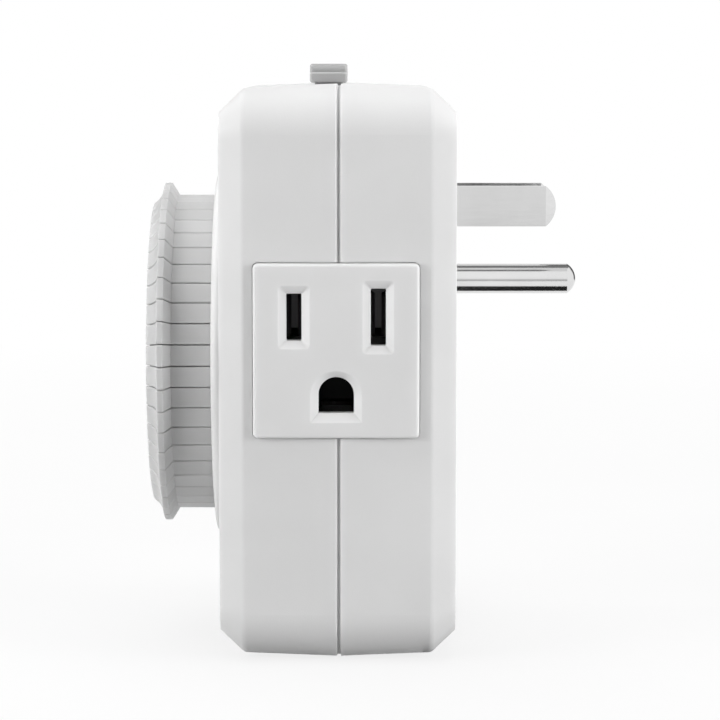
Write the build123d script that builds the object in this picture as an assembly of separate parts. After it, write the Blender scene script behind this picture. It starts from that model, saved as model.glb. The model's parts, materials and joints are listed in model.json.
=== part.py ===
from build123d import *
from math import acos, cos, degrees, hypot, pi, radians, sin, tan
import os

# Plug-in 24 hour timer switch: a two-part case with three prongs behind, a ring of push
# tappets in front, an outlet on each side and an override slider on top.
#
# Millimetres. The origin is on the back of the case, midway between the two blades.
# +Z is up, +Y points into the wall and the dial faces -Y, so a piece's place in depth is
# given as `out`, its distance in front of the wall. Heights are called `up`.

# ---- case ----
CASE_WIDTH = 63.5        # at the parting line
CASE_HEIGHT = 87.7
CASE_DEPTH = 36.0
CASE_TOP = 19.3          # above the blades' centre line
PARTING = 17.8           # depth of the joint between the two shells
CORNER_RADIUS = 7.5
EDGE_CHAMFER = 3.65      # depth of the bevel round the front and back, and its drop at the ends
SIDE_CHAMFER = 2.1       # how far the bevel draws in the two sides
EDGE_ROUND = 1.2         # between the sides and the bevel
DRAFT = 2.2              # degrees, from the parting line towards front and back
WALL = 2.0
SEAM_WIDTH = 0.6
SEAM_DEPTH = 0.3
SEAM_LIP = 0.15          # bevel on the front shell's edge of the seam
LIP_HEIGHT = 1.2

# ---- dial ----
DIAL_UP = -23.6
DIAL_FRONT = 47.4
BEZEL_RADIUS = 29.1
BEZEL_RISE = 1.3
BEZEL_EDGE = 1.0
TAPPETS = 48             # one for each half hour
TAPPET_GAP = 0.16
TAPPET_TRAVEL = 3.0
RIM_RADIUS = 27.05
RIM_NOSE_RADIUS = 23.8
RIM_NOSE_DEPTH = 1.78
RIM_NOSE_BULGE = 0.42
RIM_WIDTH = 0.92
RIM_SLOPE = 1.2
TAPPET_EDGE = 0.12       # bevel along both sides of a tappet
DRUM_RADIUS = 25.1
LEG_THICKNESS = 1.5
KEY_WIDTH = 1.2
KEY_HEIGHT = 0.9
KEY_LENGTH = 3.7
CARRIER_RIM = 1.65       # down to the roots of the ring gear
CARRIER_WEB = 1.2
CARRIER_GAP = 0.9        # between the bezel and the carrier's rim
RING_GEAR_WIDTH = 4.4
FACE_RECESS = 1.2        # of the printed ring's seat behind the dial's front
FACE_LIP = 0.5           # narrow rim round the printed ring
FACE_THICKNESS = 0.6
CAP_RADIUS = 11.0
CAP_ROOM = 0.4           # between the fixed cap and the turning ring
CAP_THICKNESS = 1.1
CAP_RECESS = 1.4         # of the cap's back behind the dial's front
CAP_PLAY = 0.2           # of the dial along its post
CAP_ROUND = 0.4
ARROW = (9.6, 4.6, 2.6)  # tip's and foot's distance from the middle, and half width
ARROW_PROUD = 0.25
CAP_STEM_RADIUS = 2.1
CAP_STEM_LENGTH = 7.0
POST_RADIUS = 4.0
HUB_WALL = 2.5

# ---- gear train ----
PRESSURE_ANGLE = 25.0
DIAL_MODULE = 0.8
DEDENDUM = 1.25          # of the dial's gears, in modules
DRIVE_TEETH = 10
TRAIN_MODULE = 0.5
WHEEL_TEETH = 40
PINION_TEETH = 10
BACKLASH = 0.12
WHEEL_THICKNESS = 1.2
ARBOR_RADIUS = 1.0
MOTOR_UP = -50.8
MOTOR_RADIUS = 14.0
MOTOR_LENGTH = 11.0
GEARBOX_LENGTH = 7.0
CUP_WALL = 0.8
ROTOR_RADIUS = 5.5
PLATE_OUT = 25.4
PLATE_THICKNESS = 1.2
POST_X = 16.5            # of the plate's two upper posts
POST_DROP = 3.0          # of the upper posts below the outlets
LOW_POST_X = 9.0
LOW_POST_DROP = 21.4     # of the lower post below the drive arbor
PLATE_POST_RADIUS = 2.2
EAR_RADIUS = 2.6         # of the motor's ears and their posts

# ---- plug ----
BLADE_SPACING = 12.7
BLADE_WIDTH = 6.35
BLADE_THICKNESS = 1.5
BLADE_LENGTH = 16.3
BLADE_TIP = 1.6          # length of the rounded and thinned tip
BLADE_TIP_THICKNESS = 0.7
BLADE_FOOT = 0.65        # how far the foot stands out above and below the blade
BLADE_FOOT_SIDE = 2.55
GROUND_DROP = 11.9       # from the blades' centre line down to the ground contact
GROUND_RADIUS = 2.4
GROUND_LENGTH = 19.9
GROUND_DOME = 1.4
GROUND_SHOULDER = 2.9    # radius of the pin inside the back wall
GROUND_FLANGE = 3.8
HOLDER_THICKNESS = 3.0
HOLDER_MARGIN = 6.4      # of the prongs' holder beyond the blades
HOLDER_EDGE = 2.7        # of the holder above the blades and below the ground pin

# ---- outlets ----
OUTLET_OUT = 18.2
OUTLET_UP = -20.6
OUTLET_WIDTH = 25.1
OUTLET_HEIGHT = 26.4
OUTLET_PROUD = 0.65      # of the outlet's face beyond the side of the case
OUTLET_CORNER = 0.8
OUTLET_EDGE = 0.5
OUTLET_PLATE = 4.0
OUTLET_FLANGE = 0.6      # behind the case wall, at the front and back of the window
OUTLET_FLANGE_END = 1.0  # the same above and below
FLANGE_THICKNESS = 1.2
SLOT_ROW = 5.1           # the blade slots' centre above the outlet's centre
SLOT_WIDTH = 2.3
SLOT_CORNER = 0.2
LINE_SLOT = 7.1
NEUTRAL_SLOT = 8.6
GROUND_WIDTH = 5.35
GROUND_HEIGHT = 5.45
GROUND_RISE = 0.12       # of the ground hole's middle above the ground contact's line
FUNNEL_MARGIN = 1.2
FUNNEL_CORNER = 0.5
FUNNEL_DEPTH = 0.8
FUNNEL_ROUND = 0.3
FACE_WALL = 3.0          # in front of the contact chambers
BLADE_ROOM = (5.8, 9.0)  # width and height of a blade contact's chamber
GROUND_ROOM = (8.4, 7.0)
CONTACT_DEPTH = 20.0     # from the outlet's face to the foot of its contacts
STRIP = 0.6              # thickness of the brass strips
STRIP_WIDTH = 3.0
LEAF = 0.5               # thickness of the contacts' spring leaves
CLIP_MOUTH = 3.7         # depth of the leaves' ends behind the outlet's face
BLADE_WAIST = 6.5        # depth of the narrowest place between two leaves
GROUND_WAIST = 7.0
BLADE_CLIP_HALF = 3.2    # half the height of a blade's leaves
GROUND_CLIP_HALF = 2.4

# ---- switch and override ----
LEVER_UP = 9.6
LEAF_SWING = 7.7         # degrees
LEAF_THICKNESS = 0.3
SWITCH_X = 9.5
SLIDER_OUT = 19.6
SLIDER_TRAVEL = 5.0
THUMB_WIDTH = 6.0
THUMB_LENGTH = 8.0
THUMB_HEIGHT = 1.7
THUMB_ROUND = 0.4
RIDGE_HEIGHT = 1.3
RIDGE_SHARE = 0.42       # of the thumb piece's length
NECK_INSET = 0.8         # of the slider's neck within its thumb piece
LEVER_SHAFT = 1.8
TRUNNION = 0.8
TRUNNION_LENGTH = 1.6
NOSE_WIDTH = 2.8
NOSE_THICKNESS = 1.4
LEVER_ARM_WIDTH = 3.2
LEVER_ARM = 6.6          # from the pivot back to the arm's end
LEAF_WIDTH = 3.8
TAB_WIDTH = 2.0          # of the tabs that the override's bridge joins
TAB_SPACING = 6.4        # between the tabs' centres
TAB_END = -1.0           # the tabs' free ends, just past the middle of the case
LOAD_RISER = 4.5         # where the load strip rises to the switch
LOAD_RISER_WIDTH = 4.0

# ---- screws ----
SCREW_X = 24.5
SCREW_INSET = 7.4        # from the case's top and bottom
SCREW_RADIUS = 1.2
SCREW_HEAD = 2.8
SCREW_HEAD_THICKNESS = 2.0
SMALL_SCREW = 0.9        # radius of the screws inside
SMALL_HEAD = 1.9
PILOT_HOLE = 0.95

# ---- clearances ----
RUNNING = 0.05           # radial, of a shaft in its bearing
THUMB_GAP = 0.08         # under the slider's thumb piece
OUTLET_FIT = 0.1         # round the outlet in its window
SLIDING = 0.15
LOOSE = 0.3

# ---- worked out from the above ----
CASE_MID = CASE_TOP - CASE_HEIGHT / 2
CASE_BOTTOM = CASE_TOP - CASE_HEIGHT
BEZEL_FRONT = CASE_DEPTH + BEZEL_RISE
FRONT_WALL = CASE_DEPTH - WALL
LEVER_OUT = FRONT_WALL - LEVER_SHAFT - LOOSE
LEG_INNER = DRUM_RADIUS - LEG_THICKNESS
LEG_BACK = BEZEL_FRONT - 0.8
GROOVE_FLOOR = LEG_BACK - TAPPET_TRAVEL - LOOSE
TROUGH_WALL = WALL * 0.6
TROUGH_BACK = GROOVE_FLOOR - TROUGH_WALL
CARRIER_OUTER = LEG_INNER - SLIDING
CARRIER_INNER = CARRIER_OUTER - CARRIER_RIM
CARRIER_BACK = BEZEL_FRONT + CARRIER_GAP
DIAL_TEETH = int(2 * CARRIER_INNER / DIAL_MODULE - 2 * DEDENDUM + 1e-6)
CAP_SEAT = DIAL_FRONT - CAP_RECESS
HUB_FRONT = CAP_SEAT - CAP_PLAY
FACE_SEAT = DIAL_FRONT - FACE_RECESS
HUB_BACK = BEZEL_FRONT + CAP_PLAY
KEY_FRONT = DIAL_FRONT - 2.3
PITCH = 360 / TAPPETS
DRIVE_DROP = DIAL_MODULE * (DIAL_TEETH - DRIVE_TEETH) / 2
DRIVE_UP = DIAL_UP - DRIVE_DROP
TRAIN_SPACING = TRAIN_MODULE * (WHEEL_TEETH + PINION_TEETH) / 2
CLUTCH_OUT = PLATE_OUT + 4.4
SECOND_OUT = PLATE_OUT + 2.0
SECOND_ANGLE = 220.5     # from the drive arbor to the second arbor, from +X towards +Z
OUTPUT_ANGLE = -17.9     # from the second arbor to the motor's output shaft
SECOND_X = TRAIN_SPACING * cos(radians(SECOND_ANGLE))
SECOND_UP = DRIVE_UP + TRAIN_SPACING * sin(radians(SECOND_ANGLE))
OUTPUT_X = SECOND_X + TRAIN_SPACING * cos(radians(OUTPUT_ANGLE))
OUTPUT_UP = SECOND_UP + TRAIN_SPACING * sin(radians(OUTPUT_ANGLE))
GEARBOX_BACK = WALL + MOTOR_LENGTH
GEARBOX_FRONT = GEARBOX_BACK + GEARBOX_LENGTH
EAR_X = MOTOR_RADIUS + 3.5
POST_UP = OUTLET_UP - OUTLET_HEIGHT / 2 - POST_DROP
PLATE_POSTS = [(POST_X, POST_UP), (-POST_X, POST_UP), (LOW_POST_X, DRIVE_UP - LOW_POST_DROP)]
HOLDER_FRONT = WALL + HOLDER_THICKNESS
FOOT_FRONT = HOLDER_FRONT + 0.8
SLOT_UP = OUTLET_UP + SLOT_ROW
GROUND_UP = SLOT_UP - GROUND_DROP
OUTLET_FACE = CASE_WIDTH / 2 + OUTLET_PROUD
OUTLET_SPREAD = OUTLET_WIDTH / 2 + OUTLET_FLANGE
FLANGE_DEPTH = OUTLET_PROUD + WALL + OUTLET_SPREAD * tan(radians(DRAFT)) + RUNNING
CONTACT_FOOT = OUTLET_FACE - CONTACT_DEPTH
NEAR_CONTACT = OUTLET_OUT - BLADE_SPACING / 2
FAR_CONTACT = OUTLET_OUT + BLADE_SPACING / 2
LINE_BOTTOM = -BLADE_WIDTH / 2 - 1.2
LOAD_UP = SLOT_UP - STRIP_WIDTH - 0.2
NEUTRAL_UP = SLOT_UP + 0.3
SCREW_UPS = [CASE_TOP - SCREW_INSET, CASE_BOTTOM + SCREW_INSET]
SCREW_SPOTS = [(side * SCREW_X, up) for side in (-1, 1) for up in SCREW_UPS]
SCREW_SEAT = PARTING - 8.8
LEAF_UP = LEVER_UP + 1.8
LEAF_BACK = 12.2
LEAF_FRONT = 28.4
CONTACT_OUT = LEAF_FRONT - 1.0
RIVET_RADIUS = 1.3
RIVET_HEIGHT = 0.6
CONTACT_REACH = CONTACT_OUT + RIVET_RADIUS - LEAF_BACK
CONTACT_GAP = CONTACT_REACH * sin(radians(LEAF_SWING)) + RUNNING
LINE_UP = LEAF_UP + LEAF_THICKNESS + 2 * RIVET_HEIGHT + CONTACT_GAP
BRIDGE_UP = LINE_UP - 1.8
FLANGE_UP = LINE_UP + STRIP + SLIDING
TAB_OUTS = [SLIDER_OUT - TAB_SPACING / 2, SLIDER_OUT + TAB_SPACING / 2]
BRIDGE_LENGTH = TAB_SPACING + TAB_WIDTH + 0.4
NOSE_UP = DIAL_UP + LEG_INNER + LEG_THICKNESS / 2 + 0.1
LEVER_SPAN = (-2.2, SWITCH_X + LEVER_ARM_WIDTH / 2)

DIAL_AXIS = Axis((0, 0, DIAL_UP), (0, 1, 0))


# ---- ways of placing things ----
def layer(out, x=0.0, up=0.0):
    """Plane parallel to the wall, seen from the front."""
    return Plane(origin=(x, -out, up), x_dir=(1, 0, 0), z_dir=(0, -1, 0))


def slab(sketch, start, end, x=0.0, up=0.0):
    """Sketch made solid between two depths."""
    return extrude(layer(start, x, up) * sketch, end - start)


def block(x_range, out_range, up_range):
    """Box given by its limits."""
    size = [high - low for low, high in (x_range, out_range, up_range)]
    middle = [(low + high) / 2 for low, high in (x_range, out_range, up_range)]
    return Pos(middle[0], -middle[1], middle[2]) * Box(*size)


def ring(inner, outer):
    return Circle(outer) - Circle(inner)


def disc(radius, start, end, x=0.0, up=0.0):
    return slab(Circle(radius), start, end, x, up)


def turned(outline):
    """Outline of (radius, out) points turned about the dial's axis."""
    radial = Plane(origin=(0, 0, DIAL_UP), x_dir=(0, 0, 1), z_dir=(1, 0, 0))
    return revolve(radial * make_face(outline), DIAL_AXIS)


def bent_strip(points, up_range, thickness=STRIP):
    """Upright strip of sheet that follows (x, out) points seen from above."""
    above = Plane(origin=(0, 0, up_range[0]), x_dir=(1, 0, 0), z_dir=(0, 0, 1))
    path = Polyline(*[(x, -out) for x, out in points])
    return extrude(above * trace(path, line_width=thickness), up_range[1] - up_range[0])


def other_side(piece):
    """The same piece for the left-hand outlet: half a turn about the case's middle."""
    return piece.rotate(Axis((0, -OUTLET_OUT, 0), (0, 0, 1)), 180)


# ---- gears ----
def involute(base, radius):
    lean = acos(min(1.0, base / radius))
    return tan(lean) - lean


def tooth_outline(teeth, module, above, below, backlash, towards):
    """Face of a spur gear whose first tooth points at the angle `towards`, in degrees."""
    pitch = module * teeth / 2
    base = pitch * cos(radians(PRESSURE_ANGLE))
    root = pitch - below * module
    tip = pitch + above * module
    foot = max(root, base)
    radii = [root, foot, (foot + tip) / 2, tip] if root < base else [root, pitch, tip]
    half = pi / 2 / teeth - backlash / 2 / pitch + involute(base, pitch)
    flank = [(radius, half - involute(base, max(radius, base))) for radius in radii]
    sides = [(radius, -spread) for radius, spread in flank]
    sides += [(radius, spread) for radius, spread in reversed(flank)]
    points = []
    for tooth in range(teeth):
        middle = radians(towards) + 2 * pi * tooth / teeth
        points += [(r * cos(middle + a), r * sin(middle + a)) for r, a in sides]
    return make_face(Polyline(*points, close=True))


def wheel_outline(towards):
    return tooth_outline(WHEEL_TEETH, TRAIN_MODULE, 0.8, 1.3, BACKLASH, towards)


def pinion_outline(towards):
    """Small train pinion with a space, not a tooth, at the angle `towards`."""
    half_pitch = 180 / PINION_TEETH
    return tooth_outline(PINION_TEETH, TRAIN_MODULE, 0.9, 1.25, BACKLASH, towards + half_pitch)


# ---- case shells ----
def case_block(inset, end, edge_round):
    """Drafted block from the parting line to the depth `end`, with its far rim bevelled."""
    side = 1 if end > PARTING else -1
    rim_depth = EDGE_CHAMFER - 0.6 * inset
    rim_side = SIDE_CHAMFER - 0.6 * inset
    straight = abs(end - PARTING) - rim_depth
    narrow = inset + straight * tan(radians(DRAFT))
    away = Plane(origin=(0, -PARTING, CASE_MID), x_dir=(side, 0, 0), z_dir=(0, -side, 0))
    foot = away * case_outline(inset, inset)
    shoulder = away.offset(straight) * case_outline(narrow, narrow)
    rim = case_outline(narrow + rim_side, narrow + rim_depth)
    body = loft([foot, shoulder, away.offset(straight + rim_depth) * rim], ruled=True)
    if edge_round > 0:
        bend = -PARTING - side * straight
        body = fillet(body.edges().filter_by_position(Axis.Y, bend - 0.01, bend + 0.01), edge_round)
    return body


def case_outline(side_inset, end_inset):
    """The case's outline, drawn in at its two sides and at its top and bottom."""
    return RectangleRounded(
        CASE_WIDTH - 2 * side_inset,
        CASE_HEIGHT - 2 * end_inset,
        CORNER_RADIUS - (side_inset + end_inset) / 2,
    )


def case_frame(outer, inner, start, end):
    """Band that follows the case's outline between two insets and two depths."""
    band = case_outline(outer, outer) - case_outline(inner, inner)
    return slab(band, start, end, 0, CASE_MID)


def seam_cut():
    """Shadow line round the case, where the shells meet."""
    half = SEAM_WIDTH / 2
    return case_frame(-1.0, SEAM_DEPTH, PARTING - half, PARTING + half)


def seam_bevel():
    """What the bevel takes off the front shell's edge of the seam."""
    start = PARTING + SEAM_WIDTH / 2
    low = layer(start, 0, CASE_MID) * case_outline(SEAM_LIP, SEAM_LIP)
    high = layer(start + SEAM_LIP, 0, CASE_MID) * case_outline(0, 0)
    return slab(case_outline(-1.0, -1.0), start, start + SEAM_LIP, 0, CASE_MID) - loft(
        [low, high], ruled=True
    )


def outlet_window():
    """Openings in both sides of the case for the outlets."""
    opening = RectangleRounded(
        OUTLET_WIDTH + 2 * OUTLET_FIT, OUTLET_HEIGHT + 2 * OUTLET_FIT, OUTLET_CORNER + OUTLET_FIT
    )
    return extrude(outlet_plane(OUTLET_FACE) * opening, CASE_WIDTH, both=True)


def slider_slot():
    neck = THUMB_LENGTH / 2 - NECK_INSET
    reach = neck + SLIDER_TRAVEL / 2 + SLIDING
    half_width = THUMB_WIDTH / 2 - NECK_INSET + SLIDING
    return block(
        (-reach, reach),
        (SLIDER_OUT - half_width, SLIDER_OUT + half_width),
        (CASE_TOP - 2 * WALL, CASE_TOP + 1),
    )


def lever_ears():
    """Two ears behind the front wall that hold the follower lever's trunnions."""
    ears = Part()
    left, right = LEVER_SPAN
    for x in (left - TRUNNION_LENGTH - SLIDING, right + SLIDING):
        ears += block(
            (x, x + TRUNNION_LENGTH),
            (LEVER_OUT - LEVER_SHAFT - 0.2, FRONT_WALL + 0.5),
            (LEVER_UP - LEVER_SHAFT - 0.2, LEVER_UP + LEVER_SHAFT + 1.2),
        )
    return ears


def lever_window():
    """Way through the groove's floor for the lever's nose."""
    across = NOSE_WIDTH / 2 + 0.7
    around = NOSE_THICKNESS / 2 + 1.1
    depth = (TROUGH_BACK - 1, LEG_BACK + 0.1)
    return block((-across, across), depth, (NOSE_UP - around, NOSE_UP + around))


def front_housing():
    shell = case_block(0, CASE_DEPTH, EDGE_ROUND)
    shell -= case_block(WALL, FRONT_WALL, 0)
    bezel = disc(BEZEL_RADIUS, FRONT_WALL, BEZEL_FRONT, 0, DIAL_UP)
    bezel = fillet(bezel.edges().sort_by(Axis.Y)[0], BEZEL_EDGE)
    groove_inner = LEG_INNER - LOOSE
    groove_outer = DRUM_RADIUS + LOOSE
    trough = ring(groove_inner - TROUGH_WALL, groove_outer + TROUGH_WALL)
    shell += bezel + slab(trough, TROUGH_BACK, CASE_DEPTH, 0, DIAL_UP)
    shell -= slab(ring(groove_inner, groove_outer), GROOVE_FLOOR, CASE_DEPTH + 5, 0, DIAL_UP)
    shell += disc(POST_RADIUS, FRONT_WALL, CAP_SEAT, 0, DIAL_UP)
    shell -= disc(CAP_STEM_RADIUS + RUNNING, CASE_DEPTH, DIAL_FRONT, 0, DIAL_UP)
    shell += lever_ears()
    for x, up in SCREW_SPOTS:
        shell += disc(SCREW_RADIUS + 2, PARTING, FRONT_WALL + 0.5, x, up)
    for x, up in PLATE_POSTS:
        shell += disc(PLATE_POST_RADIUS, PLATE_OUT + PLATE_THICKNESS, FRONT_WALL + 0.5, x, up)
    cuts = [disc(SCREW_RADIUS + RUNNING, PARTING - 1, PARTING + 12, x, up) for x, up in SCREW_SPOTS]
    cuts += [disc(PILOT_HOLE, PLATE_OUT, PLATE_OUT + 6.5, x, up) for x, up in PLATE_POSTS]
    cuts += [disc(ARBOR_RADIUS + RUNNING, CASE_DEPTH - 6, BEZEL_FRONT + 1, 0, DRIVE_UP)]
    pivot = Plane(origin=(0, -LEVER_OUT, LEVER_UP), x_dir=(0, 1, 0), z_dir=(1, 0, 0))
    cuts += [extrude(pivot * Circle(TRUNNION + RUNNING), CASE_WIDTH / 2 - WALL - 2, both=True)]
    cuts += [lever_window(), outlet_window(), slider_slot(), seam_cut(), seam_bevel()]
    cuts += [case_frame(WALL / 2 - 0.1, WALL + 0.1, PARTING - 1, PARTING + LIP_HEIGHT + 0.2)]
    return shell - cuts


def rear_housing():
    shell = case_block(0, 0, EDGE_ROUND)
    shell -= case_block(WALL, WALL, 0)
    shell += case_frame(WALL / 2, WALL, PARTING - 2, PARTING + LIP_HEIGHT)
    shell += slab(ring(MOTOR_RADIUS + 0.2, MOTOR_RADIUS + 1.4), WALL - 0.5, WALL + 6, 0, MOTOR_UP)
    for side in (-1, 1):
        shell += disc(EAR_RADIUS, WALL - 0.5, GEARBOX_BACK, side * EAR_X, MOTOR_UP)
    for x, up in SCREW_SPOTS:
        shell += disc(SCREW_HEAD + 1.6, WALL - 0.5, PARTING - 0.1, x, up)
    cuts = []
    for x, up in SCREW_SPOTS:
        cuts += [disc(SCREW_HEAD + 0.3, -1, SCREW_SEAT, x, up)]
        cuts += [disc(SCREW_RADIUS + LOOSE, -1, PARTING + 1, x, up)]
    cuts += [disc(PILOT_HOLE, WALL + 3, GEARBOX_BACK + 1, side * EAR_X, MOTOR_UP) for side in (-1, 1)]
    cuts += [disc(MOTOR_RADIUS + 0.2, WALL, WALL + 8, 0, MOTOR_UP)]
    cuts += [block((-6.4, 6.4), (WALL + 3, WALL + 8), (MOTOR_UP, MOTOR_UP + MOTOR_RADIUS + 3))]
    cuts += prong_holes(-1, WALL + 1)
    cuts += [outlet_window(), slider_slot(), seam_cut()]
    return shell - cuts


def prong_holes(start, end):
    """Holes for the two blades and the ground pin."""
    blade = Rectangle(BLADE_THICKNESS + 2 * RUNNING, BLADE_WIDTH + 2 * RUNNING)
    holes = [slab(blade, start, end, side * BLADE_SPACING / 2) for side in (-1, 1)]
    return holes + [disc(GROUND_SHOULDER + RUNNING, start, end, 0, -GROUND_DROP)]


def case_screw():
    """Pan head screw in the back, its shank in the front shell's boss."""
    head = disc(SCREW_HEAD, SCREW_SEAT - SCREW_HEAD_THICKNESS, SCREW_SEAT)
    head = fillet(head.edges().sort_by(Axis.Y)[-1], 0.8)
    head -= block((-2.0, 2.0), (SCREW_SEAT - 3, SCREW_SEAT - 1), (-0.4, 0.4))
    head -= block((-0.4, 0.4), (SCREW_SEAT - 3, SCREW_SEAT - 1), (-2.0, 2.0))
    return head + disc(SCREW_RADIUS, SCREW_SEAT - 1, PARTING + 10)


# ---- plug ----
def blade(x):
    """Flat prong with a rounded, thinned tip and a foot behind the holder."""
    side = Plane(origin=(x, 0, 0), x_dir=(0, 1, 0), z_dir=(1, 0, 0))
    above = Plane(origin=(x, 0, 0), x_dir=(1, 0, 0), z_dir=(0, 0, 1))
    bevel = BLADE_LENGTH - BLADE_TIP
    upper = BLADE_WIDTH / 2
    sides = Polyline((bevel, -upper), (-HOLDER_FRONT, -upper), (-HOLDER_FRONT, upper), (bevel, upper))
    nose = ThreePointArc((bevel, upper), (BLADE_LENGTH, 0), (bevel, -upper))
    half = BLADE_THICKNESS / 2
    tip = BLADE_TIP_THICKNESS / 2
    taper = Polyline(
        (-half, -HOLDER_FRONT),
        (half, -HOLDER_FRONT),
        (half, bevel),
        (tip, BLADE_LENGTH),
        (-tip, BLADE_LENGTH),
        (-half, bevel),
        close=True,
    )
    bar = extrude(side * make_face([sides.edges(), nose]), BLADE_THICKNESS, both=True)
    bar &= extrude(above * make_face(taper), BLADE_WIDTH, both=True)
    foot = RectangleRounded(
        BLADE_THICKNESS + 2 * BLADE_FOOT_SIDE, BLADE_WIDTH + 2 * BLADE_FOOT, BLADE_THICKNESS / 2
    )
    return bar + slab(foot, HOLDER_FRONT, FOOT_FRONT, x)


def ground_pin():
    """Round pin with a domed tip, and a thicker shank from the back wall inwards."""
    straight = GROUND_LENGTH - GROUND_DOME
    ball = (GROUND_RADIUS**2 + GROUND_DOME**2) / 2 / GROUND_DOME
    dome = disc(GROUND_RADIUS, -GROUND_LENGTH - 1, -straight)
    dome &= Pos(0, GROUND_LENGTH - ball, 0) * Sphere(ball)
    pin = dome + disc(GROUND_RADIUS, -straight, 0) + disc(GROUND_SHOULDER, 0, HOLDER_FRONT)
    return Pos(0, 0, -GROUND_DROP) * (pin + disc(GROUND_FLANGE, HOLDER_FRONT, FOOT_FRONT))


def blade_holder():
    """Insulating block inside the back wall that carries the prongs."""
    width = BLADE_SPACING + BLADE_THICKNESS + 2 * HOLDER_MARGIN
    height = GROUND_DROP + BLADE_WIDTH / 2 + GROUND_SHOULDER + 2 * HOLDER_EDGE
    middle = (BLADE_WIDTH / 2 - GROUND_DROP - GROUND_SHOULDER) / 2
    plate = slab(RectangleRounded(width, height, 2), WALL, HOLDER_FRONT, 0, middle)
    rib = slab(Rectangle(1.2, BLADE_WIDTH + 2.2), HOLDER_FRONT, FOOT_FRONT)
    return plate + rib - prong_holes(WALL - 1, HOLDER_FRONT + 1)


# ---- outlets ----
def arch(width, height):
    """Ground hole's outline: flat below, round above, centred on its height."""
    half = width / 2
    shoulder = height / 2 - half
    sides = Polyline((half, shoulder), (half, -height / 2), (-half, -height / 2), (-half, shoulder))
    top = ThreePointArc((-half, shoulder), (0, height / 2), (half, shoulder))
    return make_face([sides.edges(), top])


def outlet_plane(depth):
    """Plane `depth` behind the right-hand outlet's face, seen from outside."""
    return Plane(
        origin=(OUTLET_FACE - depth, -OUTLET_OUT, OUTLET_UP), x_dir=(0, 1, 0), z_dir=(1, 0, 0)
    )


def outlet_bar(sketch, near, far):
    """Sketch made solid between two depths behind the outlet's face."""
    return extrude(outlet_plane(far) * sketch, far - near)


def funnel(small, large):
    """Bevelled frame sunk round a slot."""
    return loft([outlet_plane(0) * large, outlet_plane(FUNNEL_DEPTH) * small])


def outlet_insert():
    """Right-hand outlet: face plate, a flange behind the case wall, and contact chambers."""
    half_spacing = BLADE_SPACING / 2
    around = 2 * FUNNEL_MARGIN
    plate = RectangleRounded(OUTLET_WIDTH, OUTLET_HEIGHT, OUTLET_CORNER)
    face = outlet_bar(plate, 0, OUTLET_PLATE)
    face = fillet(face.faces().sort_by(Axis.X)[-1].edges(), OUTLET_EDGE)
    for x, height in ((-half_spacing, LINE_SLOT), (half_spacing, NEUTRAL_SLOT)):
        spot = Pos(x, SLOT_ROW)
        slot = spot * RectangleRounded(SLOT_WIDTH, height, SLOT_CORNER)
        frame = spot * RectangleRounded(SLOT_WIDTH + around, height + around, FUNNEL_CORNER)
        face -= [outlet_bar(slot, -1, OUTLET_PLATE + 1), funnel(slot, frame)]
    spot = Pos(0, SLOT_ROW - GROUND_DROP + GROUND_RISE)
    hole = spot * arch(GROUND_WIDTH, GROUND_HEIGHT)
    frame = spot * Pos(0, -0.2) * arch(GROUND_WIDTH + around, GROUND_HEIGHT + around)
    face -= [outlet_bar(hole, -1, OUTLET_PLATE + 1), funnel(hole, frame)]
    rims = [wire.edges() for wire in face.faces().sort_by(Axis.X)[-1].inner_wires()]
    face = fillet([edge for rim in rims for edge in rim], FUNNEL_ROUND)
    flange = Rectangle(2 * OUTLET_SPREAD, OUTLET_HEIGHT + 2 * OUTLET_FLANGE_END)
    flange_back = FLANGE_DEPTH + FLANGE_THICKNESS
    chamber = Pos(0, -0.6) * RectangleRounded(OUTLET_WIDTH - 4.6, OUTLET_HEIGHT - 3.2, 1.0)
    body = outlet_bar(flange, FLANGE_DEPTH, flange_back)
    body += outlet_bar(chamber, flange_back, CONTACT_DEPTH - STRIP)
    rooms = [(x, SLOT_ROW, *BLADE_ROOM) for x in (-half_spacing, half_spacing)]
    rooms += [(0, SLOT_ROW - GROUND_DROP, *GROUND_ROOM)]
    for x, up, width, height in rooms:
        body -= outlet_bar(Pos(x, up) * Rectangle(width, height), 0, CONTACT_DEPTH)
        face -= outlet_bar(Pos(x, up) * Rectangle(width, height), FACE_WALL, CONTACT_DEPTH)
    return face + body


# ---- contacts and strips ----
def blade_clip(out, up):
    """Pair of spring leaves for a blade, with its foot, for the right-hand outlet."""
    low_high = (up - BLADE_CLIP_HALF, up + BLADE_CLIP_HALF)
    return spring_clip(out, low_high, BLADE_WAIST, (2.1, 0.75, 1.4))


def ground_clip():
    low_high = (GROUND_UP - GROUND_CLIP_HALF, GROUND_UP + GROUND_CLIP_HALF)
    return spring_clip(OUTLET_OUT, low_high, GROUND_WAIST, (3.2, 2.55, 3.3))


def spring_clip(out, low_high, waist, spread):
    """Foot and two leaves; `spread` is the leaves' distance from the middle along their length."""
    foot = CONTACT_FOOT + STRIP / 2
    half = spread[0] + 0.2
    clip = bent_strip([(foot, out - half), (foot, out + half)], low_high)
    for side in (-1, 1):
        depths = (foot, OUTLET_FACE - waist, OUTLET_FACE - CLIP_MOUTH)
        leaf = [(x, out + side * away) for x, away in zip(depths, spread)]
        clip += bent_strip(leaf, low_high, LEAF)
    return clip


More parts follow.
